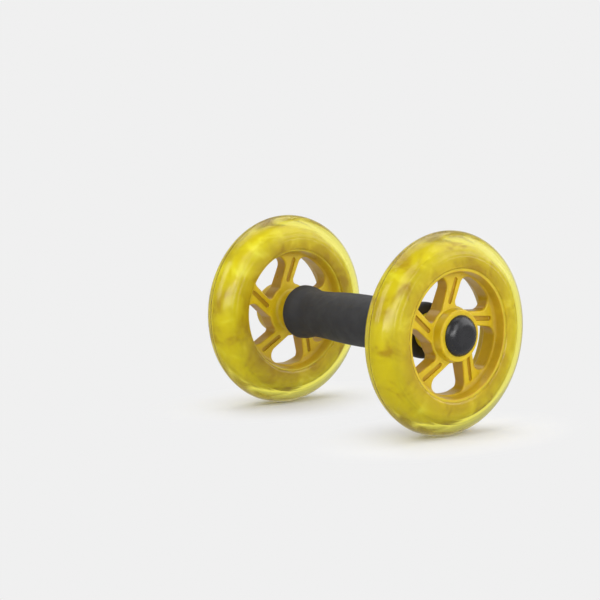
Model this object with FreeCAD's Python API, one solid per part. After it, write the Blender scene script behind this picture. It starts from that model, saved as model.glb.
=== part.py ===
import FreeCAD, Part
import math
import os

V = FreeCAD.Vector

# ---------------------------------------------------------------------------
# Two-wheeled ab roller: a hand grip with a wheel on each end of one axle.
# Millimetres. X runs along the axle, Z is up, and the floor is z = 0 under
# the middle of the grip. The roller rests on the treads of its two wheels.
# "s" is the distance along the axle from the middle of the grip.
# ---------------------------------------------------------------------------

# driving dimensions -------------------------------------------------------
WHEEL_R = 73.0          # tread radius, so the axle is this high
TRACK = 178.0           # between the middle planes of the two wheels
TYRE_HALF_W = 14.5      # half the tyre's width at its shoulders
TYRE_SHOULDER_R = 54.0  # radius where the tyre's side meets the rim lip
CROWN_R = 11.8          # tread crown arc
FLANK_R = 22.75         # arc from the crown down to the side

RIM_EDGE_X = 12.9       # the rim's outboard edge, from the wheel's mid plane
RIM_BACK_X = 12.6       # the rim's inboard edge
RIM_EDGE_R = 47.6       # top of the rim's thin visible edge
RIM_LIP_R = 54.5        # top of the rim's two flanges, inside the tyre
RIM_LIP_X = 10.2        # outer face of the flanges
RIM_LIP_T = 2.8         # flange thickness
CHANNEL_R = 49.0        # floor of the channel that the tyre is moulded into
RIM_IN_MID_R = 43.6     # rim's inner wall at the web
RIM_IN_SIDE_R = 45.2    # rim's inner wall at its outboard edge (it flares from the web)
RIM_IN_BACK_R = 46.4    # rim's inner wall at its inboard edge
TYRE_FOOT_R = 47.0      # inner edge of the tyre's side
KEY_COUNT = 10          # ribs across the channel that key the tyre
KEY_T = 4.6
KEY_R = 58.0

HUB_R_OUT = 18.6        # hub radius at its outboard end
HUB_R_WEB = 18.9        # hub radius where the spokes start
HUB_R_IN = 13.2         # radius of the hub's inboard snout
HUB_IN_S = 70.2         # hub's inboard face
HUB_OUT_S = 103.0       # hub's outboard face
WEB_HUB_X = 6.5         # half depth of a spoke at the hub
WEB_RIM_X = 4.9         # half depth of a spoke at the rim
HUB_WEB_FILLET = 0.6    # between the hub's side and the spokes
SPOKES = 5
SPOKE_LEAN = 22.0       # spokes are straight, and lean this far from radial
SPOKE_MID_R = 31.0      # where a spoke's centre line crosses its own radius
SPOKE_TURN = 1.2        # turn of the top spoke from straight up, there
SPOKE_W = 10.2          # spoke width at the hub end of its windows
SPOKE_RIM_W = 12.2      # spoke width at the rim end
WIN_IN_R = 20.4         # inner end of a window
WIN_OUT_R = 42.9        # outer end of a window
WIN_CORNER_R = 3.2      # window corners at the hub
WIN_RIM_CORNER_R = 6.6  # window corners at the rim
SPOKE_EDGE_R = 1.3      # rounding along the window edges
GROOVE_W = 3.6          # groove along each spoke, on both faces
GROOVE_D = 1.8
GROOVE_L = 20.0         # its length, centred on the spoke's middle

# ball bearing, 8 x 22 x 7
BRG_BORE_R, BRG_OUT_R, BRG_W = 4.0, 11.0, 7.0
BRG_PITCH_R, BALL_R, BALLS = 7.5, 1.984, 7
RACE_GROOVE_R = 2.05
INNER_LAND_R, OUTER_LAND_R = 6.05, 9.0
SHIELD_IN_R, SHIELD_T, SHIELD_GAP = 6.3, 0.3, 0.3
CAGE_IN_R, CAGE_OUT_R, CAGE_X0, CAGE_X1 = 6.8, 8.2, -2.4, 0.6
POCKET_R = 2.07

INBOARD_S0 = 71.2       # inboard bearing, near face
OUTBOARD_S0 = 87.2      # outboard bearing, near face
MID_BORE_R = 9.2        # hub bore between the bearings
CAP_BORE_R = 12.5       # recess that takes the hub cap's skirt
CAP_BORE_S = 94.7
SPACER_R = 5.9

AXLE_R = 4.0
AXLE_END_S = 104.0
SLIP = 0.03             # radial clearance of fixed pieces on the axle
WASHER_T = 1.0
NUT_AF, NUT_HEX_H, NUT_H = 13.0, 6.2, 8.0
NUT_COLLAR_R = 6.1
INSERT_R, INSERT_H = 5.2, 1.5

CAP_R = 14.7            # hub cap's rim
CAP_FLAT_R = 7.0        # flat end the roller can stand on
CAP_END_S = 109.0       # overall half length
CAP_SKIRT_R, CAP_SKIRT_T, CAP_SKIRT_S = 12.45, 1.7, 97.0
CAP_WALL = 2.0

TUBE_R, TUBE_T = 12.7, 2.0
TUBE_END_S = 67.0
PLUG_FACE_S = 69.7
PLUG_DEPTH = 18.0
PLUG_FIT = 0.02

GRIP_END_S = 69.5
GRIP_MID_R = 19.5       # palm swell
GRIP_NECK_R, GRIP_NECK_S = 17.6, 48.0
GRIP_FLARE_R, GRIP_FLARE_S = 20.4, 66.0
GRIP_NECK_ARC = 32.0    # concave arc between neck and flare
GRIP_EDGE_R = 2.7       # rounding of the grip's end edge

MID_S = TRACK / 2.0


# helpers ------------------------------------------------------------------
def rounded(points):
    """Closed wire in the XY plane through (x, y, fillet radius) corners."""
    n = len(points)
    starts, ends, arcs = [], [], []
    for i in range(n):
        x, y, r = points[i]
        p = V(x, y, 0)
        if r <= 0:
            starts.append(p)
            ends.append(p)
            arcs.append(None)
            continue
        a = V(*points[i - 1][:2], 0) - p
        b = V(*points[(i + 1) % n][:2], 0) - p
        a.normalize()
        b.normalize()
        half = math.acos(max(-1.0, min(1.0, a.dot(b)))) / 2.0
        cut = r / math.tan(half)
        bis = a + b
        bis.normalize()
        centre = p + bis * (r / math.sin(half))
        p0, p1 = p + a * cut, p + b * cut
        starts.append(p0)
        ends.append(p1)
        arcs.append(Part.Arc(p0, centre - bis * r, p1))
    edges = []
    for i in range(n):
        if arcs[i] is not None:
            edges.append(arcs[i].toShape())
        p, q = ends[i], starts[(i + 1) % n]
        if (q - p).Length > 1e-6:
            edges.append(Part.LineSegment(p, q).toShape())
    return Part.Wire(edges)


def spin(wire):
    """Solid of revolution about the X axis from a closed wire in the XY plane."""
    made = Part.Face(wire).revolve(V(0, 0, 0), V(1, 0, 0), 360)
    return Part.Solid(made) if made.ShapeType != "Solid" else made


def ring(s0, s1, r_in, r_out, c=0.0):
    """Tube along X, with small chamfers c on its four edges."""
    if c <= 0:
        return spin(rounded([(s0, r_in, 0), (s1, r_in, 0), (s1, r_out, 0), (s0, r_out, 0)]))
    return spin(rounded([
        (s0, r_in + c, 0), (s0 + c, r_in, 0), (s1 - c, r_in, 0), (s1, r_in + c, 0),
        (s1, r_out - c, 0), (s1 - c, r_out, 0), (s0 + c, r_out, 0), (s0, r_out - c, 0)]))


def about_x(shape, deg):
    out = shape.copy()
    out.rotate(V(0, 0, 0), V(1, 0, 0), deg)
    return out


def arc3(p0, pm, p1):
    return Part.Arc(V(*p0, 0), V(*pm, 0), V(*p1, 0)).toShape()


def arc_about(c, r, p0, p1):
    """Shorter arc of radius r about c between two points in the XY plane."""
    a0 = math.atan2(p0[1] - c[1], p0[0] - c[0])
    a1 = math.atan2(p1[1] - c[1], p1[0] - c[0])
    d = (a1 - a0 + math.pi) % (2 * math.pi) - math.pi
    am = a0 + d / 2.0
    return arc3(p0, (c[0] + r * math.cos(am), c[1] + r * math.sin(am)), p1)


def seg(p0, p1):
    return Part.LineSegment(V(*p0, 0), V(*p1, 0)).toShape()


# wheel --------------------------------------------------------------------
def wheel_core():
    """Moulded hub, five leaning spokes and a channel rim, as one piece. Local x = 0 is the mid plane."""
    xi, xo = HUB_IN_S - MID_S, HUB_OUT_S - MID_S
    b1 = INBOARD_S0 + BRG_W - MID_S
    c0, c1 = OUTBOARD_S0 - MID_S, CAP_BORE_S - MID_S
    lip, edge, back = RIM_LIP_X, RIM_EDGE_X, RIM_BACK_X
    body = spin(rounded([
        # bores, from the inboard face outwards
        (xi, BRG_OUT_R + 0.6, 0), (xi + 0.6, BRG_OUT_R + 0.01, 0), (b1, BRG_OUT_R + 0.01, 0),
        (b1, MID_BORE_R, 0), (c0, MID_BORE_R, 0), (c0, BRG_OUT_R + 0.01, 0),
        (c1, BRG_OUT_R + 0.01, 0), (c1, CAP_BORE_R, 0), (xo, CAP_BORE_R, 0),
        # outboard hub face and side, web, rim's inner wall
        (xo, HUB_R_OUT, 1.2), (WEB_HUB_X, HUB_R_WEB, HUB_WEB_FILLET), (WEB_RIM_X, RIM_IN_MID_R, 3.0),
        (edge, RIM_IN_SIDE_R, 0.5), (edge, RIM_EDGE_R, 0), (lip, RIM_EDGE_R, 0),
        (lip, RIM_LIP_R, 0.8), (lip - RIM_LIP_T, RIM_LIP_R, 0.8),
        # channel
        (lip - RIM_LIP_T, CHANNEL_R, 1.0), (-lip + RIM_LIP_T, CHANNEL_R, 1.0),
        (-lip + RIM_LIP_T, RIM_LIP_R, 0.8), (-lip, RIM_LIP_R, 0.8), (-lip, RIM_EDGE_R, 0),
        (-back, RIM_EDGE_R, 0), (-back, RIM_IN_BACK_R, 0.5),
        # inboard web and hub
        (-WEB_RIM_X, RIM_IN_MID_R, 3.0), (-WEB_HUB_X, HUB_R_IN + 0.5, 3.0), (xi, HUB_R_IN, 0.8),
    ]))
    # windows: each between two straight leaning spokes, an inner arc and an outer arc
    pitch = 360.0 / SPOKES
    lean = math.radians(SPOKE_LEAN)

    def spoke_side(turn, sign):
        """Two points on one side of a spoke. Turns run from +Z towards +Y."""
        a = math.radians(turn)
        u, v = V(0, math.sin(a), math.cos(a)), V(0, math.cos(a), -math.sin(a))
        along = u * math.cos(lean) + v * math.sin(lean)
        across = v * math.cos(lean) - u * math.sin(lean)
        t0 = (WIN_IN_R - SPOKE_MID_R) / math.cos(lean)
        t1 = (WIN_OUT_R - SPOKE_MID_R) / math.cos(lean)
        mid = u * SPOKE_MID_R
        return (mid + along * t0 + across * (sign * SPOKE_W / 2.0),
                mid + along * t1 + across * (sign * SPOKE_RIM_W / 2.0))

    def crossing(side, radius):
        """Where a spoke's side, followed outwards, meets a circle about the axle."""
        p, d = side[0], side[1] - side[0]
        b, c = 2.0 * p.dot(d), p.dot(p) - radius ** 2
        t = (-b + math.sqrt(b * b - 4.0 * d.dot(d) * c)) / (2.0 * d.dot(d))
        return p + d * t

    def midway(p, q, radius):
        m = p + q
        m.normalize()
        return m * radius

    first, second = spoke_side(SPOKE_TURN, 1), spoke_side(SPOKE_TURN + pitch, -1)
    i0, i1 = crossing(first, WIN_IN_R), crossing(second, WIN_IN_R)
    o0, o1 = crossing(first, WIN_OUT_R), crossing(second, WIN_OUT_R)
    outline = Part.Wire([
        Part.Arc(i0, midway(i0, i1, WIN_IN_R), i1).toShape(), Part.LineSegment(i1, o1).toShape(),
        Part.Arc(o1, midway(o0, o1, WIN_OUT_R), o0).toShape(), Part.LineSegment(o0, i0).toShape()])
    prism = Part.Face(outline).extrude(V(60, 0, 0))
    prism.translate(V(-30, 0, 0))

    def corners(shape, radius):
        return [e for e in shape.Edges if abs(e.Vertexes[0].X - e.Vertexes[-1].X) > 50
                and abs(math.hypot(e.Vertexes[0].Y, e.Vertexes[0].Z) - radius) < 1e-4]

    prism = prism.makeFillet(WIN_CORNER_R, corners(prism, WIN_IN_R))
    prism = prism.makeFillet(WIN_RIM_CORNER_R, corners(prism, WIN_OUT_R))
    for k in range(SPOKES):
        body = body.cut(about_x(prism, pitch * k))
    # rounded window edges, on both faces
    edges = []
    for e in body.Edges:
        pts = [e.valueAt(e.FirstParameter + (e.LastParameter - e.FirstParameter) * k) for k in (0.0, 0.5, 1.0)]
        rr = [math.hypot(q.y, q.z) for q in pts]
        one_face = all(q.x > 2.0 for q in pts) or all(q.x < -2.0 for q in pts)
        if one_face and max(rr) < WIN_OUT_R + 0.05 and min(rr) > WIN_IN_R - 0.4:
            edges.append(e)
    body = body.makeFillet(SPOKE_EDGE_R, edges)
    # groove along each spoke, on both faces, its floor parallel to the spoke's face
    slope = math.atan2(WEB_HUB_X - WEB_RIM_X, RIM_IN_MID_R - HUB_R_WEB) * math.cos(lean)
    face_x = WEB_HUB_X - (SPOKE_MID_R - HUB_R_WEB) * (WEB_HUB_X - WEB_RIM_X) / (RIM_IN_MID_R - HUB_R_WEB)
    for face in (1, -1):
        hw, hl = GROOVE_W / 2.0, GROOVE_L / 2.0
        slot = Part.Wire([
            Part.LineSegment(V(0, -hw, -hl + hw), V(0, -hw, hl - hw)).toShape(),
            Part.Arc(V(0, -hw, hl - hw), V(0, 0, hl), V(0, hw, hl - hw)).toShape(),
            Part.LineSegment(V(0, hw, hl - hw), V(0, hw, -hl + hw)).toShape(),
            Part.Arc(V(0, hw, -hl + hw), V(0, 0, -hl), V(0, -hw, -hl + hw)).toShape()])
        cutter = Part.Face(slot).extrude(V(10, 0, 0))
        cutter = cutter.makeFillet(0.7, [e for e in cutter.Edges if all(abs(v.X) < 1e-6 for v in e.Vertexes)])
        if face < 0:
            cutter.rotate(V(0, 0, 0), V(0, 0, 1), 180)
        cutter.rotate(V(0, 0, 0), V(0, 1, 0), -face * math.degrees(slope))
        cutter.rotate(V(0, 0, 0), V(1, 0, 0), -SPOKE_LEAN)
        cutter.translate(V(face * (face_x - GROOVE_D), 0, SPOKE_MID_R))
        for k in range(SPOKES):
            body = body.cut(about_x(cutter, pitch * k - SPOKE_TURN))
    # ribs across the channel, which key the tyre to the rim
    w = RIM_LIP_X - RIM_LIP_T + 0.3
    rib = Part.Wire([
        Part.LineSegment(V(-w, -KEY_T / 2, CHANNEL_R - 0.6), V(-w, KEY_T / 2, CHANNEL_R - 0.6)).toShape(),
        Part.LineSegment(V(-w, KEY_T / 2, CHANNEL_R - 0.6), V(w, KEY_T / 2, CHANNEL_R - 0.6)).toShape(),
        Part.LineSegment(V(w, KEY_T / 2, CHANNEL_R - 0.6), V(w, -KEY_T / 2, CHANNEL_R - 0.6)).toShape(),
        Part.LineSegment(V(w, -KEY_T / 2, CHANNEL_R - 0.6), V(-w, -KEY_T / 2, CHANNEL_R - 0.6)).toShape()])
    rib = Part.Face(rib).extrude(V(0, 0, RIM_LIP_R - 1.2 - CHANNEL_R + 0.6))
    peg = Part.makeCylinder(KEY_T / 2 + 2.2, KEY_R - CHANNEL_R + 0.6, V(0, 0, CHANNEL_R - 0.6), V(0, 0, 1))
    peg = peg.makeFillet(1.2, [e for e in peg.Edges if all(abs(v.Z - KEY_R) < 1e-6 for v in e.Vertexes)])
    key = rib.fuse(peg)
    for k in range(KEY_COUNT):
        body = body.fuse(about_x(key, 360.0 / KEY_COUNT * (k + 0.5)))
    return one(body.removeSplitter())


def one(shape):
    """The single solid in a shape."""
    if len(shape.Solids) != 1:
        raise RuntimeError("expected one solid, got %d" % len(shape.Solids))
    return shape.Solids[0]


def tyre(core):
    """Soft tyre moulded round the rim: crowned tread, rounded flanks, filling the channel."""
    w, r0 = TYRE_HALF_W, TYRE_SHOULDER_R
    top = WHEEL_R
    crown_c = (0.0, top - CROWN_R)
    flank_c = (w - FLANK_R, r0)
    d = math.hypot(crown_c[0] - flank_c[0], crown_c[1] - flank_c[1])
    ux, uy = (crown_c[0] - flank_c[0]) / d, (crown_c[1] - flank_c[1]) / d
    j = (crown_c[0] + CROWN_R * ux, crown_c[1] + CROWN_R * uy)
    jm = (-j[0], j[1])
    side = w - 0.2                      # the side leans in a little below the shoulder
    foot = 2.2                          # rounding at the tyre's foot
    wire = Part.Wire([
        seg((-side + foot, TYRE_FOOT_R), (side - foot, TYRE_FOOT_R)),
        arc_about((side - foot, TYRE_FOOT_R + foot), foot, (side - foot, TYRE_FOOT_R), (side, TYRE_FOOT_R + foot)),
        seg((side, TYRE_FOOT_R + foot), (w, r0)),
        arc_about(flank_c, FLANK_R, (w, r0), j),
        arc3(j, (0.0, top), jm),
        arc_about((-flank_c[0], r0), FLANK_R, jm, (-w, r0)),
        seg((-w, r0), (-side, TYRE_FOOT_R + foot)),
        arc_about((-side + foot, TYRE_FOOT_R + foot), foot, (-side, TYRE_FOOT_R + foot), (-side + foot, TYRE_FOOT_R)),
    ])
    return one(spin(wire).cut(core))


def hub_cap():
    """Black push-in cap: low dome with a flat end, and a split skirt that grips the hub's recess."""
    x0, x1 = HUB_OUT_S, CAP_END_S
    h = x1 - x0 - 0.6
    rho = ((CAP_R - CAP_FLAT_R) ** 2 + h ** 2) / (2 * h)
    c = (x1 - rho, CAP_FLAT_R)
    # inner dome, one wall thickness in
    rho_i = rho - CAP_WALL
    lip_i = CAP_SKIRT_R - CAP_SKIRT_T
    xi = c[0] + math.sqrt(rho_i ** 2 - (lip_i - CAP_FLAT_R) ** 2)
    skirt = CAP_SKIRT_S
    wire = Part.Wire([
        seg((x1, 0.0), (x1, CAP_FLAT_R)),
        arc_about(c, rho, (x1, CAP_FLAT_R), (x0 + 0.6, CAP_R)),
        seg((x0 + 0.6, CAP_R), (x0, CAP_R)),
        seg((x0, CAP_R), (x0, CAP_SKIRT_R)),
        seg((x0, CAP_SKIRT_R), (skirt + 0.8, CAP_SKIRT_R)),
        seg((skirt + 0.8, CAP_SKIRT_R), (skirt, CAP_SKIRT_R - 0.6)),
        seg((skirt, CAP_SKIRT_R - 0.6), (skirt, lip_i)),
        seg((skirt, lip_i), (xi, lip_i)),
        arc_about(c, rho_i, (xi, lip_i), (x1 - CAP_WALL, CAP_FLAT_R)),
        seg((x1 - CAP_WALL, CAP_FLAT_R), (x1 - CAP_WALL, 0.0)),
        seg((x1 - CAP_WALL, 0.0), (x1, 0.0)),
    ])
    cap = spin(wire)
    # slits that let the skirt spring
    for k in range(4):
        slit = Part.makeBox(x0 - 1.2 - skirt + 1.0, 1.6, 4.0, V(skirt - 1.0, -0.8, lip_i - 1.0))
        cap = cap.cut(about_x(slit, 45 + 90 * k))
    return one(cap)


# ball bearing, built about its own middle ----------------------------------
def inner_race(c):
    h = BRG_W / 2.0
    blank = ring(c - h, c + h, BRG_BORE_R + SLIP, INNER_LAND_R, 0.25)
    groove = Part.makeTorus(BRG_PITCH_R, RACE_GROOVE_R, V(c, 0, 0), V(1, 0, 0))
    return one(blank.cut(groove))


def outer_race(c):
    h = BRG_W / 2.0
    blank = ring(c - h, c + h, OUTER_LAND_R, BRG_OUT_R, 0.3)
    groove = Part.makeTorus(BRG_PITCH_R, RACE_GROOVE_R, V(c, 0, 0), V(1, 0, 0))
    return one(blank.cut(groove))


def shields(c):
    h = BRG_W / 2.0
    a = ring(c + h - SHIELD_GAP - SHIELD_T, c + h - SHIELD_GAP, SHIELD_IN_R, OUTER_LAND_R)
    b = ring(c - h + SHIELD_GAP, c - h + SHIELD_GAP + SHIELD_T, SHIELD_IN_R, OUTER_LAND_R)
    return Part.makeCompound([a, b])


def balls(c):
    made = []
    for k in range(BALLS):
        b = Part.makeSphere(BALL_R)
        b.translate(V(c, 0, BRG_PITCH_R))
        made.append(about_x(b, 360.0 / BALLS * k))
    return Part.makeCompound(made)


def cage(c):
    body = ring(c + CAGE_X0, c + CAGE_X1, CAGE_IN_R, CAGE_OUT_R)
    for k in range(BALLS):
        p = Part.makeSphere(POCKET_R)
        p.translate(V(c, 0, BRG_PITCH_R))
        body = body.cut(about_x(p, 360.0 / BALLS * k))
    return one(body)


# fasteners ----------------------------------------------------------------
def lock_nut(s0):
    """M8 prevailing-torque nut: hexagon, chamfered, with a collar that holds a nylon ring."""
    rc = NUT_AF / math.sqrt(3.0)
    pts = [V(s0, rc * math.cos(math.radians(60 * k)), rc * math.sin(math.radians(60 * k))) for k in range(7)]
    hexa = Part.Face(Part.makePolygon(pts)).extrude(V(NUT_HEX_H, 0, 0))
    cone = spin(rounded([
        (s0, 0, 0), (s0 + NUT_HEX_H, 0, 0), (s0 + NUT_HEX_H, NUT_AF / 2 - 0.1, 0),
        (s0 + NUT_HEX_H - 0.7, rc + 0.2, 0), (s0 + 0.7, rc + 0.2, 0), (s0, NUT_AF / 2 - 0.1, 0)]))
    nut = hexa.common(cone)
    collar = spin(rounded([
        (s0 + NUT_HEX_H - 0.5, 0, 0), (s0 + NUT_H, 0, 0), (s0 + NUT_H, NUT_COLLAR_R - 0.5, 0),
        (s0 + NUT_H - 0.5, NUT_COLLAR_R, 0), (s0 + NUT_HEX_H - 0.5, NUT_COLLAR_R, 0)]))
    nut = nut.fuse(collar)
    nut = nut.cut(Part.makeCylinder(AXLE_R + 0.02, 20, V(s0 - 5, 0, 0), V(1, 0, 0)))
    seat = Part.makeCylinder(INSERT_R, INSERT_H, V(s0 + NUT_H - 0.3 - INSERT_H, 0, 0), V(1, 0, 0))
    mouth = Part.makeCylinder(INSERT_R - 0.5, 1.0, V(s0 + NUT_H - 0.5, 0, 0), V(1, 0, 0))
    return one(nut.cut(seat).cut(mouth).removeSplitter())


def nut_insert(s0):
    a = s0 + NUT_H - 0.3 - INSERT_H
    return ring(a, a + INSERT_H, AXLE_R + 0.02, INSERT_R)


# handle -------------------------------------------------------------------
def grip():
    """Moulded soft grip: palm swell in the middle, a neck each side and a flare at each end."""
    q = ((GRIP_NECK_S ** 2) + (GRIP_MID_R - GRIP_NECK_R) ** 2) / (2 * (GRIP_MID_R - GRIP_NECK_R))
    swell = q * 0.62                    # convex palm arc; the rest is the concave arc to the neck
    dip = q - swell
    t1 = (GRIP_NECK_S * swell / q,
          GRIP_MID_R - swell + (GRIP_NECK_R + dip - GRIP_MID_R + swell) * swell / q)
    rise = GRIP_FLARE_R - GRIP_NECK_R
    run = GRIP_FLARE_S - GRIP_NECK_S
    p = (run ** 2 + rise ** 2) / (2 * rise)
    flare = p - GRIP_NECK_ARC
    n_c = (GRIP_NECK_S, GRIP_NECK_R + GRIP_NECK_ARC)
    f_c = (GRIP_FLARE_S, GRIP_FLARE_R - flare)
    t2 = (n_c[0] + (f_c[0] - n_c[0]) * GRIP_NECK_ARC / p, n_c[1] + (f_c[1] - n_c[1]) * GRIP_NECK_ARC / p)
    e0 = (GRIP_END_S - GRIP_EDGE_R, GRIP_FLARE_R)
    e1 = (GRIP_END_S, GRIP_FLARE_R - GRIP_EDGE_R)
    bore = TUBE_R + PLUG_FIT
    half = [
        arc_about((GRIP_NECK_S, GRIP_NECK_R + dip), dip, t1, (GRIP_NECK_S, GRIP_NECK_R)),
        arc_about(n_c, GRIP_NECK_ARC, (GRIP_NECK_S, GRIP_NECK_R), t2),
        arc_about(f_c, flare, t2, (GRIP_FLARE_S, GRIP_FLARE_R)),
        seg((GRIP_FLARE_S, GRIP_FLARE_R), e0),
        arc_about((e0[0], e1[1]), GRIP_EDGE_R, e0, e1),
        seg(e1, (GRIP_END_S, bore)),
    ]
    other = []
    for e in reversed(half):
        m = e.copy().mirror(V(0, 0, 0), V(1, 0, 0))
        other.append(m)
    mid = arc3((-t1[0], t1[1]), (0.0, GRIP_MID_R), t1)
    floor = seg((GRIP_END_S, bore), (-GRIP_END_S, bore))
    wire = Part.Wire(Part.__sortEdges__([mid] + half + [floor] + other))
    return spin(wire)


def end_plug():
    """Nylon plug in the end of the handle tube; it centres the axle and takes the clamp load."""
    body = spin(rounded([
        (TUBE_END_S - PLUG_DEPTH, AXLE_R + SLIP, 0), (PLUG_FACE_S, AXLE_R + SLIP, 0),
        (PLUG_FACE_S, TUBE_R, 0.5), (TUBE_END_S, TUBE_R, 0),
        (TUBE_END_S, TUBE_R - TUBE_T - PLUG_FIT, 0),
        (TUBE_END_S - PLUG_DEPTH + 1.0, TUBE_R - TUBE_T - PLUG_FIT, 0),
        (TUBE_END_S - PLUG_DEPTH, TUBE_R - TUBE_T - PLUG_FIT - 1.0, 0)]))
    # coring pockets from the inner end
    for k in range(4):
        pocket = Part.makeCylinder(1.9, PLUG_DEPTH - 4.0, V(TUBE_END_S - PLUG_DEPTH, 0, 7.3), V(1, 0, 0))
        body = body.cut(about_x(pocket, 45 + 90 * k))
    return one(body)


def axle():
    e = AXLE_END_S
    return spin(rounded([
        (-e, 0, 0), (e, 0, 0), (e, AXLE_R - 0.8, 0), (e - 0.8, AXLE_R, 0),
        (-e + 0.8, AXLE_R, 0), (-e, AXLE_R - 0.8, 0)]))


# assembly -----------------------------------------------------------------
def main():
    os.makedirs("parts", exist_ok=True)
    nodes = {}
    ib, ob = INBOARD_S0 + BRG_W / 2.0, OUTBOARD_S0 + BRG_W / 2.0
    wash = OUTBOARD_S0 + BRG_W
    nut = wash + WASHER_T

    core = wheel_core()
    tread = tyre(core)
    right = {
        "wheel_core": core, "tyre": tread,
    }
    for s in right.values():
        s.translate(V(MID_S, 0, 0))
    right.update({
        "hub_cap": hub_cap(),
        "inboard_outer_race": outer_race(ib), "outboard_outer_race": outer_race(ob),
        "inboard_inner_race": inner_race(ib), "outboard_inner_race": inner_race(ob),
        "inboard_shields": shields(ib), "outboard_shields": shields(ob),
        "inboard_balls": balls(ib), "outboard_balls": balls(ob),
        "inboard_cage": cage(ib), "outboard_cage": cage(ob),
        "inner_spacer": ring(PLUG_FACE_S, INBOARD_S0, AXLE_R + SLIP, SPACER_R, 0.2),
        "bearing_spacer": ring(INBOARD_S0 + BRG_W, OUTBOARD_S0, AXLE_R + SLIP, SPACER_R, 0.3),
        "speed_washer": ring(wash, nut, AXLE_R + SLIP, SPACER_R, 0.15),
        "lock_nut": lock_nut(nut), "nut_insert": nut_insert(nut),
        "end_plug": end_plug(),
    })
    for name, shape in right.items():
        nodes["right_" + name] = shape
        if name in ("wheel_core", "tyre"):
            # seen from one end, both cores lean the same way, so they are a handed pair
            left = shape.mirror(V(0, 0, 0), V(1, 0, 0))
        else:
            left = shape.copy()
            left.rotate(V(0, 0, 0), V(0, 0, 1), 180)
        nodes["left_" + name] = left
    nodes["axle_rod"] = axle()
    nodes["handle_tube"] = ring(-TUBE_END_S, TUBE_END_S, TUBE_R - TUBE_T, TUBE_R, 0.3)
    nodes["grip_sleeve"] = grip()

    for name, shape in sorted(nodes.items()):
        shape.translate(V(0, 0, WHEEL_R))
        if not shape.isValid():
            print("INVALID", name)
        shape.exportStep("parts/%s.step" % name)
        b = shape.BoundBox
        print("%-28s solids %d  vol %9.2f  x %7.2f..%7.2f  z %6.2f..%6.2f" % (
            name, len(shape.Solids), shape.Volume, b.XMin, b.XMax, b.ZMin, b.ZMax))


main()
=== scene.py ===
"""The looks of a two-wheeled ab roller: clear yellow tyres cast over amber five-spoke cores,
a charcoal rubber grip with flared ends, black hub caps, and the steel and nylon pieces inside.
Metres, X along the axle, Z up, floor at z = 0."""

import math

import bpy
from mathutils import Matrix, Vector


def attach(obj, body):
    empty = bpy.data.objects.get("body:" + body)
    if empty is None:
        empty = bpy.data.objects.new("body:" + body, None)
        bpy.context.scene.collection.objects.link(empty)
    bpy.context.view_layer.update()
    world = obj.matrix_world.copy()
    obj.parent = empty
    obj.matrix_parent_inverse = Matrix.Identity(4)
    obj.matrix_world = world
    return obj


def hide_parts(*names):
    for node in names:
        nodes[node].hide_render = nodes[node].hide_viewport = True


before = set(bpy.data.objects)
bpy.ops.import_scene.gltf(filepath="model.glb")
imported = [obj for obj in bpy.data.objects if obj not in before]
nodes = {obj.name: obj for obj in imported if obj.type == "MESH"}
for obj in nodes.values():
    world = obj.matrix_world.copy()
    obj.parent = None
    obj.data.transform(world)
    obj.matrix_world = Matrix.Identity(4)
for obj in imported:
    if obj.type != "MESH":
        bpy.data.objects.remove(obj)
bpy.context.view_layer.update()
scene = bpy.context.scene

MM = 0.001
AXLE_Z = 0.073
TRACK_HALF = 0.089


# ---------------------------------------------------------------- mesh helpers
def arc(cx, cy, r, a0, a1, n):
    """Points on a circle from angle a0 to a1, in degrees, ends included."""
    out = []
    for i in range(n + 1):
        a = math.radians(a0 + (a1 - a0) * i / n)
        out.append((cx + r * math.cos(a), cy + r * math.sin(a)))
    return out


def lathe(name, profile, segments, sharp=32.0):
    """A closed ring: the closed profile of (x, r) points in mm, turned about the axle."""
    n = len(profile)
    verts, faces = [], []
    for j in range(segments):
        t = 2.0 * math.pi * j / segments
        c, s = math.cos(t), math.sin(t)
        for x, r in profile:
            verts.append((x * MM, r * MM * c, AXLE_Z + r * MM * s))
    for j in range(segments):
        a, b = j * n, ((j + 1) % segments) * n
        for i in range(n):
            k = (i + 1) % n
            faces.append((a + i, a + k, b + k, b + i))
    return solid(name, verts, faces, sharp)


def lathe_capped(name, profile, segments, sharp=32.0):
    """A solid of revolution: the open profile starts and ends on the axle."""
    verts, faces = [], []
    first, last = profile[0], profile[-1]
    inner = profile[1:-1]
    n = len(inner)
    for j in range(segments):
        t = 2.0 * math.pi * j / segments
        c, s = math.cos(t), math.sin(t)
        for x, r in inner:
            verts.append((x * MM, r * MM * c, AXLE_Z + r * MM * s))
    verts.append((first[0] * MM, 0.0, AXLE_Z))
    verts.append((last[0] * MM, 0.0, AXLE_Z))
    p0, p1 = len(verts) - 2, len(verts) - 1
    for j in range(segments):
        a, b = j * n, ((j + 1) % segments) * n
        faces.append((p0, a, b))
        for i in range(n - 1):
            faces.append((a + i, a + i + 1, b + i + 1, b + i))
        faces.append((a + n - 1, p1, b + n - 1))
    return solid(name, verts, faces, sharp)


def solid(name, verts, faces, sharp):
    import bmesh

    me = bpy.data.meshes.new(name)
    me.from_pydata(verts, [], faces)
    bm = bmesh.new()
    bm.from_mesh(me)
    bmesh.ops.recalc_face_normals(bm, faces=bm.faces[:])
    if bm.calc_volume(signed=True) < 0.0:
        bmesh.ops.reverse_faces(bm, faces=bm.faces[:])
    bm.to_mesh(me)
    bm.free()
    me.shade_smooth()
    me.set_sharp_from_angle(angle=math.radians(sharp))
    ob = bpy.data.objects.new(name, me)
    scene.collection.objects.link(ob)
    return ob


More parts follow.
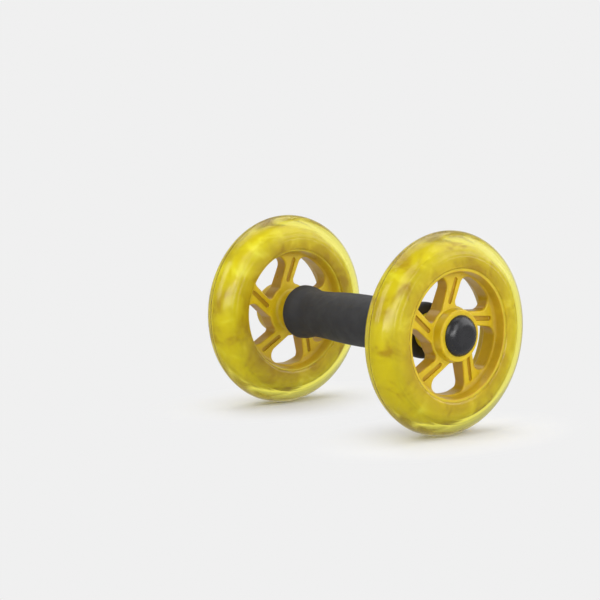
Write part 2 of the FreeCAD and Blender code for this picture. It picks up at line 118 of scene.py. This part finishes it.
# ------------------------------------------------------------ material helpers
class Mat:
    """A Principled material with small helpers for its detail nodes."""

    def __init__(self, name, base, rough, metal=0.0):
        self.m = bpy.data.materials.new(name)
        self.m.use_nodes = True
        self.t = self.m.node_tree
        self.t.nodes.clear()
        self.out = self.t.nodes.new("ShaderNodeOutputMaterial")
        self.p = self.t.nodes.new("ShaderNodeBsdfPrincipled")
        self.t.links.new(self.p.outputs["BSDF"], self.out.inputs["Surface"])
        self.set("Base Color", (*base, 1.0))
        self.set("Roughness", rough)
        self.set("Metallic", metal)
        self.coord = self.t.nodes.new("ShaderNodeTexCoord").outputs["Object"]

    def set(self, name, value):
        self.p.inputs[name].default_value = value

    def link(self, a, b):
        self.t.links.new(a, b)

    def to(self, name, socket):
        self.t.links.new(socket, self.p.inputs[name])

    def scaled(self, sx, sy, sz):
        n = self.t.nodes.new("ShaderNodeMapping")
        n.inputs["Scale"].default_value = (sx, sy, sz)
        self.link(self.coord, n.inputs["Vector"])
        return n.outputs["Vector"]

    def noise(self, scale, detail=3.0, rough=0.5, vec=None, distortion=0.0):
        n = self.t.nodes.new("ShaderNodeTexNoise")
        n.inputs["Scale"].default_value = scale
        n.inputs["Detail"].default_value = detail
        n.inputs["Roughness"].default_value = rough
        n.inputs["Distortion"].default_value = distortion
        self.link(vec if vec is not None else self.coord, n.inputs["Vector"])
        return n.outputs["Fac"]

    def cells(self, scale, vec=None, feature="F1"):
        n = self.t.nodes.new("ShaderNodeTexVoronoi")
        n.feature = feature
        n.inputs["Scale"].default_value = scale
        self.link(vec if vec is not None else self.coord, n.inputs["Vector"])
        return n.outputs["Distance"]

    def span(self, fac, lo, hi, a=0.0, b=1.0):
        n = self.t.nodes.new("ShaderNodeMapRange")
        n.inputs["From Min"].default_value = lo
        n.inputs["From Max"].default_value = hi
        n.inputs["To Min"].default_value = a
        n.inputs["To Max"].default_value = b
        self.link(fac, n.inputs["Value"])
        return n.outputs["Result"]

    def math(self, op, a, b):
        n = self.t.nodes.new("ShaderNodeMath")
        n.operation = op
        for i, v in enumerate((a, b)):
            if hasattr(v, "is_linked"):
                self.link(v, n.inputs[i])
            else:
                n.inputs[i].default_value = v
        return n.outputs["Value"]

    def ramp(self, fac, stops):
        n = self.t.nodes.new("ShaderNodeValToRGB")
        e = n.color_ramp.elements
        e[0].position, e[0].color = stops[0][0], (*stops[0][1], 1.0)
        e[1].position, e[1].color = stops[-1][0], (*stops[-1][1], 1.0)
        for pos, col in stops[1:-1]:
            k = e.new(pos)
            k.color = (*col, 1.0)
        self.link(fac, n.inputs["Fac"])
        return n.outputs["Color"]

    def mixed(self, fac, a, b):
        n = self.t.nodes.new("ShaderNodeMix")
        n.data_type = "RGBA"
        self.link(fac, n.inputs["Factor"])
        self.link(a, n.inputs[6])
        self.link(b, n.inputs[7])
        return n.outputs[2]

    def bump(self, height, strength, distance, normal=None):
        n = self.t.nodes.new("ShaderNodeBump")
        n.inputs["Strength"].default_value = strength
        n.inputs["Distance"].default_value = distance
        self.link(height, n.inputs["Height"])
        if normal is not None:
            self.link(normal, n.inputs["Normal"])
        return n.outputs["Normal"]

    def radius(self):
        """Distance from the axle, in metres."""
        s = self.t.nodes.new("ShaderNodeSeparateXYZ")
        self.link(self.coord, s.inputs[0])
        z = self.math("SUBTRACT", s.outputs["Z"], AXLE_Z)
        return self.math(
            "SQRT",
            self.math(
                "ADD",
                self.math("MULTIPLY", s.outputs["Y"], s.outputs["Y"]),
                self.math("MULTIPLY", z, z),
            ),
            0.0,
        )


# ------------------------------------------------------------------- materials
def tyre_material():
    k = Mat("tyre_clear_yellow", (0.98, 0.95, 0.70), 0.10)
    k.set("Transmission Weight", 1.0)
    k.set("IOR", 1.37)
    k.set("Coat Weight", 0.12)
    k.set("Coat Roughness", 0.06)
    k.set("Coat IOR", 1.4)
    k.to("Base Color", k.ramp(k.noise(38.0, 3.0, 0.55), [(0.30, (0.985, 0.96, 0.70)), (0.70, (0.995, 0.98, 0.80))]))
    k.to("Roughness", k.span(k.noise(120.0, 4.0, 0.6), 0.3, 0.7, 0.15, 0.24))
    k.to("Normal", k.bump(k.noise(60.0, 2.0, 0.5), 0.10, 0.0005))
    v = k.t.nodes.new("ShaderNodeVolumeAbsorption")
    v.inputs["Color"].default_value = (0.997, 0.97, 0.08, 1.0)
    v.inputs["Density"].default_value = 72.0
    k.link(v.outputs["Volume"], k.out.inputs["Volume"])
    return k.m


def heart_material():
    k = Mat("tyre_hazy_yellow", (0.78, 0.70, 0.04), 0.45)
    k.set("Specular IOR Level", 0.1)
    # lemon with brown and pale clouds, and the rim's golden colour showing through near its edge
    clouds = k.noise(48.0, 4.0, 0.6, distortion=0.5)
    out = k.span(k.math("ADD", k.radius(), k.math("MULTIPLY", clouds, 0.006)), 0.0520, 0.0650)
    gold = k.ramp(clouds, [(0.34, (0.46, 0.30, 0.010)), (0.66, (0.70, 0.54, 0.016))])
    lemon = k.ramp(clouds, [(0.32, (0.47, 0.32, 0.010)), (0.45, (0.67, 0.58, 0.014)), (0.57, (0.73, 0.65, 0.018)), (0.70, (0.88, 0.85, 0.12))])
    k.to("Base Color", k.mixed(out, gold, lemon))
    k.to("Roughness", k.span(k.noise(120.0, 4.0, 0.6), 0.3, 0.7, 0.38, 0.52))
    k.to("Normal", k.bump(k.noise(70.0, 3.0, 0.55), 0.3, 0.001))
    return k.m


def core_material():
    k = Mat("core_amber_plastic", (0.75, 0.52, 0.02), 0.32)
    k.set("Subsurface Weight", 0.25)
    k.set("Subsurface Radius", (0.010, 0.006, 0.001))
    k.set("Subsurface Scale", 1.0)
    k.set("Coat Weight", 0.06)
    k.set("Coat Roughness", 0.12)
    k.set("Specular IOR Level", 0.30)
    # painted shade: the colour turns a deeper brown just under the faces of the hub and spokes and in their grooves,
    # and over the whole inner wall of the rim, up to its flat edges
    clouds = k.noise(62.0, 4.0, 0.6, distortion=0.3)
    sep = k.t.nodes.new("ShaderNodeSeparateXYZ")
    k.link(k.coord, sep.inputs[0])
    off_mid_plane = k.math("ABSOLUTE", k.math("SUBTRACT", k.math("ABSOLUTE", sep.outputs["X"], 0.0), TRACK_HALF), 0.0)
    rim = k.span(k.radius(), 0.0395, 0.0435)
    spoke_face = k.span(k.radius(), 0.0189, 0.0436, 0.0065, 0.0049)
    web_painted_shade_mask = k.span(k.math("SUBTRACT", off_mid_plane, spoke_face), -0.0014, -0.0003)
    rim_wall_painted_shade_mask = k.span(k.radius(), 0.0453, 0.0464)
    # painted shade: brown below the faces of the hub and spokes and in the spoke grooves, golden on the faces
    # themselves
    web_with_painted_shade = k.mixed(
        web_painted_shade_mask,
        k.ramp(clouds, [(0.28, (0.36, 0.205, 0.009)), (0.72, (0.49, 0.30, 0.012))]),
        k.ramp(clouds, [(0.28, (0.48, 0.33, 0.008)), (0.72, (0.63, 0.46, 0.013))]),
    )
    # painted shade: the rim's inner wall is a shaded brown copy of the amber; only its flat edges keep the golden
    # colour
    ring = k.mixed(
        rim_wall_painted_shade_mask,
        k.ramp(clouds, [(0.28, (0.40, 0.245, 0.011)), (0.72, (0.52, 0.345, 0.016))]),
        k.ramp(clouds, [(0.28, (0.50, 0.35, 0.014)), (0.72, (0.62, 0.48, 0.020))]),
    )
    k.to("Base Color", k.mixed(rim, web_with_painted_shade, ring))
    k.to("Roughness", k.span(k.noise(240.0, 4.0, 0.6), 0.3, 0.7, 0.26, 0.40))
    k.to("Normal", k.bump(k.noise(900.0, 3.0, 0.6), 0.12, 0.0002))
    return k.m


def grip_material():
    k = Mat("grip_charcoal_rubber", (0.035, 0.035, 0.038), 0.62)
    k.set("Specular IOR Level", 0.40)
    k.to("Base Color", k.ramp(k.noise(70.0, 5.0, 0.6), [(0.3, (0.015, 0.015, 0.017)), (0.7, (0.025, 0.025, 0.028))]))
    k.to("Roughness", k.span(k.noise(160.0, 4.0, 0.6), 0.3, 0.7, 0.54, 0.70))
    grain = k.cells(1500.0)
    k.to("Normal", k.bump(grain, 0.35, 0.00025, k.bump(k.noise(600.0, 3.0, 0.6), 0.2, 0.0003)))
    return k.m


def cap_material():
    k = Mat("cap_black_plastic", (0.009, 0.009, 0.011), 0.28)
    k.set("Specular IOR Level", 0.50)
    k.to("Base Color", k.ramp(k.noise(110.0, 4.0, 0.6), [(0.3, (0.006, 0.006, 0.0075)), (0.7, (0.011, 0.011, 0.0135))]))
    k.to("Roughness", k.span(k.noise(300.0, 4.0, 0.6), 0.3, 0.7, 0.22, 0.34))
    k.to("Normal", k.bump(k.noise(1400.0, 3.0, 0.6), 0.2, 0.00015))
    return k.m


def metal_material(name, base, rough, scale):
    k = Mat(name, base, rough, 1.0)
    lo = tuple(c * 0.86 for c in base)
    hi = tuple(min(1.0, c * 1.08) for c in base)
    k.to("Base Color", k.ramp(k.noise(scale, 4.0, 0.6), [(0.3, lo), (0.7, hi)]))
    turned = k.noise(60.0, 3.0, 0.6, k.scaled(60.0, 1.0, 1.0))
    k.to("Roughness", k.span(turned, 0.3, 0.7, max(0.05, rough - 0.07), rough + 0.08))
    k.to("Normal", k.bump(turned, 0.15, 0.0001))
    return k.m


def nylon_material(name, lo, hi, rough):
    k = Mat(name, lo, rough)
    k.to("Base Color", k.ramp(k.noise(180.0, 4.0, 0.6), [(0.3, lo), (0.7, hi)]))
    k.to("Roughness", k.span(k.noise(420.0, 4.0, 0.6), 0.3, 0.7, rough - 0.06, rough + 0.08))
    k.to("Normal", k.bump(k.noise(1200.0, 3.0, 0.6), 0.18, 0.00015))
    return k.m


MATS = {
    "tyre": tyre_material(),
    "heart": heart_material(),
    "core": core_material(),
    "cap": cap_material(),
    "grip": grip_material(),
    "nylon_black": nylon_material("nylon_black", (0.018, 0.018, 0.020), (0.030, 0.030, 0.033), 0.45),
    "nylon_natural": nylon_material("nylon_natural", (0.62, 0.58, 0.47), (0.74, 0.70, 0.59), 0.42),
    "ball_steel": metal_material("ball_chrome_steel", (0.66, 0.66, 0.68), 0.12, 500.0),
    "bearing_steel": metal_material("bearing_ground_steel", (0.58, 0.58, 0.60), 0.22, 400.0),
    "shield_steel": metal_material("shield_pressed_steel", (0.52, 0.52, 0.54), 0.30, 350.0),
    "zinc_steel": metal_material("zinc_plated_steel", (0.62, 0.63, 0.66), 0.32, 260.0),
    "tube_steel": metal_material("tube_drawn_steel", (0.40, 0.40, 0.42), 0.38, 120.0),
    "axle_steel": metal_material("axle_turned_steel", (0.54, 0.54, 0.56), 0.26, 200.0),
}

SLOT_OF = {
    "wheel_core": "core",
    "tyre": "tyre",
    "hub_cap": "cap",
    "outer_race": "bearing_steel",
    "inner_race": "bearing_steel",
    "shields": "shield_steel",
    "balls": "ball_steel",
    "cage": "nylon_natural",
    "inner_spacer": "nylon_black",
    "bearing_spacer": "zinc_steel",
    "speed_washer": "zinc_steel",
    "lock_nut": "zinc_steel",
    "nut_insert": "nylon_natural",
    "end_plug": "nylon_black",
    "axle_rod": "axle_steel",
    "handle_tube": "tube_steel",
    "grip_sleeve": "grip",
}
for name, ob in nodes.items():
    key = next(s for k, s in SLOT_OF.items() if name.endswith(k))
    ob.data.materials.clear()
    ob.data.materials.append(MATS[key])


# ----------------------------------------------------------------------- tyres
def mirrored(half, floor):
    """A closed ring profile from its outboard half, which runs from the crown down to the inner face."""
    return half + [(0.0, floor)] + [(-x, r) for x, r in reversed(half[1:])]


def tyre_profile():
    """Clear outer body: crown with a fine parting line, flank with shallow moulded rings, side, foot."""
    half = []
    for x, r in arc(0.0, 61.2, 11.8, 90.0, 41.1, 44):
        half.append((x, r - 0.22 * math.exp(-((x / 0.45) ** 2))))
    for x, r in arc(-8.25, 54.0, 22.75, 41.1, 0.0, 66)[1:]:
        dip = sum(d * math.exp(-(((r - at) / w) ** 2)) for at, d, w in ((63.4, 0.16, 0.45), (59.6, 0.20, 0.50), (56.2, 0.20, 0.50)))
        half.append((x - dip, r))
    half += [(14.46, 53.0), (14.42, 52.0), (14.38, 51.0), (14.34, 50.1), (14.30, 49.2)]
    half += arc(12.10, 49.2, 2.2, 0.0, -90.0, 8)[1:]
    half += [(9.0, 47.0), (6.0, 47.0), (3.0, 47.0)]
    return mirrored(half, 47.0)


def heart_profile():
    """Hazy inner body, where the tyre is cast round the rim's flanges and ribs."""
    half = arc(0.0, 40.5, 21.5, 90.0, 68.0, 12)
    half += arc(5.6, 54.4, 6.9, 62.0, 6.0, 12)
    half += [(12.9, 54.0), (13.2, 52.0), (13.25, 51.0), (13.2, 50.0)]
    half += arc(11.4, 49.2, 1.8, 10.0, -90.0, 6)
    half += [(9.0, 47.4), (5.0, 47.4)]
    return mirrored(half, 47.4)


def build_tyre(side):
    s = 1.0 if side == "right" else -1.0
    ob = lathe(side + "_tyre_ring", [(x + s * 89.0, r) for x, r in tyre_profile()], 288)
    ob.data.materials.append(MATS["tyre"])
    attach(ob, side + "_wheel")
    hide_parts(side + "_tyre")
    inner = lathe(side + "_tyre_heart", [(x + s * 89.0, r) for x, r in heart_profile()], 240)
    inner.data.materials.append(MATS["heart"])
    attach(inner, side + "_wheel")


for side in ("left", "right"):
    build_tyre(side)


# ----------------------------------------------------------------------- stage
def build_stage():
    """A pale, evenly lit cove. Its floor is matt round each wheel's contact, so it takes the shadow there."""
    k = Mat("studio_floor", (0.86, 0.86, 0.86), 0.5)
    t = k.t
    t.nodes.remove(k.p)
    dif = t.nodes.new("ShaderNodeBsdfDiffuse")
    emi = t.nodes.new("ShaderNodeEmission")
    mix = t.nodes.new("ShaderNodeMixShader")
    emi.inputs["Color"].default_value = (PALE, PALE, PALE, 1.0)
    k.link(k.ramp(k.noise(3.0, 2.0, 0.5), [(0.3, (FLOOR, FLOOR, FLOOR)), (0.7, (FLOOR + 0.008,) * 3)]), dif.inputs["Color"])
    sep = t.nodes.new("ShaderNodeSeparateXYZ")
    k.link(k.coord, sep.inputs[0])
    # distance to the nearer contact: longer along the way the wheels roll
    x = k.math("MULTIPLY", k.math("SUBTRACT", k.math("ABSOLUTE", sep.outputs["X"], 0.0), TRACK_HALF), 1.0)
    y = k.math("MULTIPLY", sep.outputs["Y"], 0.6)
    out = k.math("SQRT", k.math("ADD", k.math("MULTIPLY", x, x), k.math("MULTIPLY", y, y)), 0.0)
    far = t.nodes.new("ShaderNodeMapRange")
    far.interpolation_type = "SMOOTHSTEP"
    far.inputs["From Min"].default_value = 0.012
    far.inputs["From Max"].default_value = 0.075
    k.link(out, far.inputs["Value"])
    k.link(far.outputs["Result"], mix.inputs["Fac"])
    k.link(dif.outputs[0], mix.inputs[1])
    k.link(emi.outputs[0], mix.inputs[2])
    k.link(mix.outputs[0], k.out.inputs["Surface"])
    rings = [(0.0, 0.0)]
    rings += [(r, 0.0) for r in (0.3, 0.8, 1.6, 2.4, 3.2)]
    rings += [(3.2 + 0.8 * math.sin(math.radians(a)), 0.8 - 0.8 * math.cos(math.radians(a))) for a in range(6, 91, 6)]
    rings += [(4.0, 0.95)]
    seg = 72
    verts, faces = [(0.0, 0.0, 0.0)], []
    for r, z in rings[1:]:
        for j in range(seg):
            t = 2.0 * math.pi * j / seg
            verts.append((r * math.cos(t), r * math.sin(t), z))
    for j in range(seg):
        faces.append((0, 1 + j, 1 + (j + 1) % seg))
    for i in range(len(rings) - 2):
        a, b = 1 + i * seg, 1 + (i + 1) * seg
        for j in range(seg):
            q = (j + 1) % seg
            faces.append((a + j, b + j, b + q, a + q))
    me = bpy.data.meshes.new("studio_cove")
    me.from_pydata(verts, [], faces)
    me.shade_smooth()
    ob = bpy.data.objects.new("studio_cove", me)
    ob.visible_glossy = False
    me.materials.append(k.m)
    scene.collection.objects.link(ob)


PALE = 0.871
FLOOR = 0.735
build_stage()

# ------------------------------------------------------------- camera and light
cam = bpy.data.cameras.new("camera")
cam.sensor_width = 36.0
cam.lens = 36.0 * 1843.16 / 600.0
cam.clip_start = 0.02
cam_ob = bpy.data.objects.new("camera", cam)
cam_ob.location = (1.0105, -0.9049, 0.2586)
cam_ob.rotation_euler = Vector((-0.76115, 0.63644, -0.1246)).to_track_quat("-Z", "Y").to_euler()
scene.collection.objects.link(cam_ob)
scene.camera = cam_ob

RIGHT = Vector((0.6409, 0.7676, 0.0))
AHEAD = Vector((-0.7676, 0.6409, 0.0))
UP = Vector((0.0, 0.0, 1.0))
MIDDLE = Vector((0.0, 0.0, 0.075))


def softbox(name, right, ahead, up, width, height, watts, tint=(1.0, 1.0, 1.0)):
    li = bpy.data.lights.new(name, "AREA")
    li.shape = "RECTANGLE"
    li.size, li.size_y = width, height
    li.energy = watts
    li.color = tint
    ob = bpy.data.objects.new(name, li)
    ob.location = MIDDLE + RIGHT * right + AHEAD * ahead + UP * up
    ob.rotation_euler = (MIDDLE - ob.location).to_track_quat("-Z", "Y").to_euler()
    scene.collection.objects.link(ob)


softbox("softbox_top", -0.1, 0.5, 1.6, 1.8, 1.8, 18.0)
softbox("softbox_front_left", -1.1, -1.0, 0.9, 1.0, 1.2, 12.5)
softbox("softbox_front_right", 0.9, -1.3, 0.8, 0.8, 1.0, 6.5)
softbox("softbox_right", 1.3, 0.15, 0.75, 1.3, 1.4, 12.0)
softbox("softbox_low", 0.4, -1.5, 0.25, 1.2, 0.4, 8.0)

world = bpy.data.worlds.new("studio")
world.use_nodes = True
wt = world.node_tree
wc = wt.nodes.new("ShaderNodeTexCoord")
ws = wt.nodes.new("ShaderNodeSeparateXYZ")
wr = wt.nodes.new("ShaderNodeValToRGB")
wr.color_ramp.elements[0].position = 0.20
wr.color_ramp.elements[0].color = (0.60, 0.60, 0.60, 1.0)
wr.color_ramp.elements[1].position = 0.45
wr.color_ramp.elements[1].color = (0.44, 0.44, 0.44, 1.0)
wt.links.new(wc.outputs["Generated"], ws.inputs[0])
wt.links.new(ws.outputs["Z"], wr.inputs["Fac"])
wt.links.new(wr.outputs["Color"], wt.nodes["Background"].inputs["Color"])
wt.nodes["Background"].inputs["Strength"].default_value = 1.0
scene.world = world
scene.view_settings.view_transform = "Standard"
scene.view_settings.look = "None"
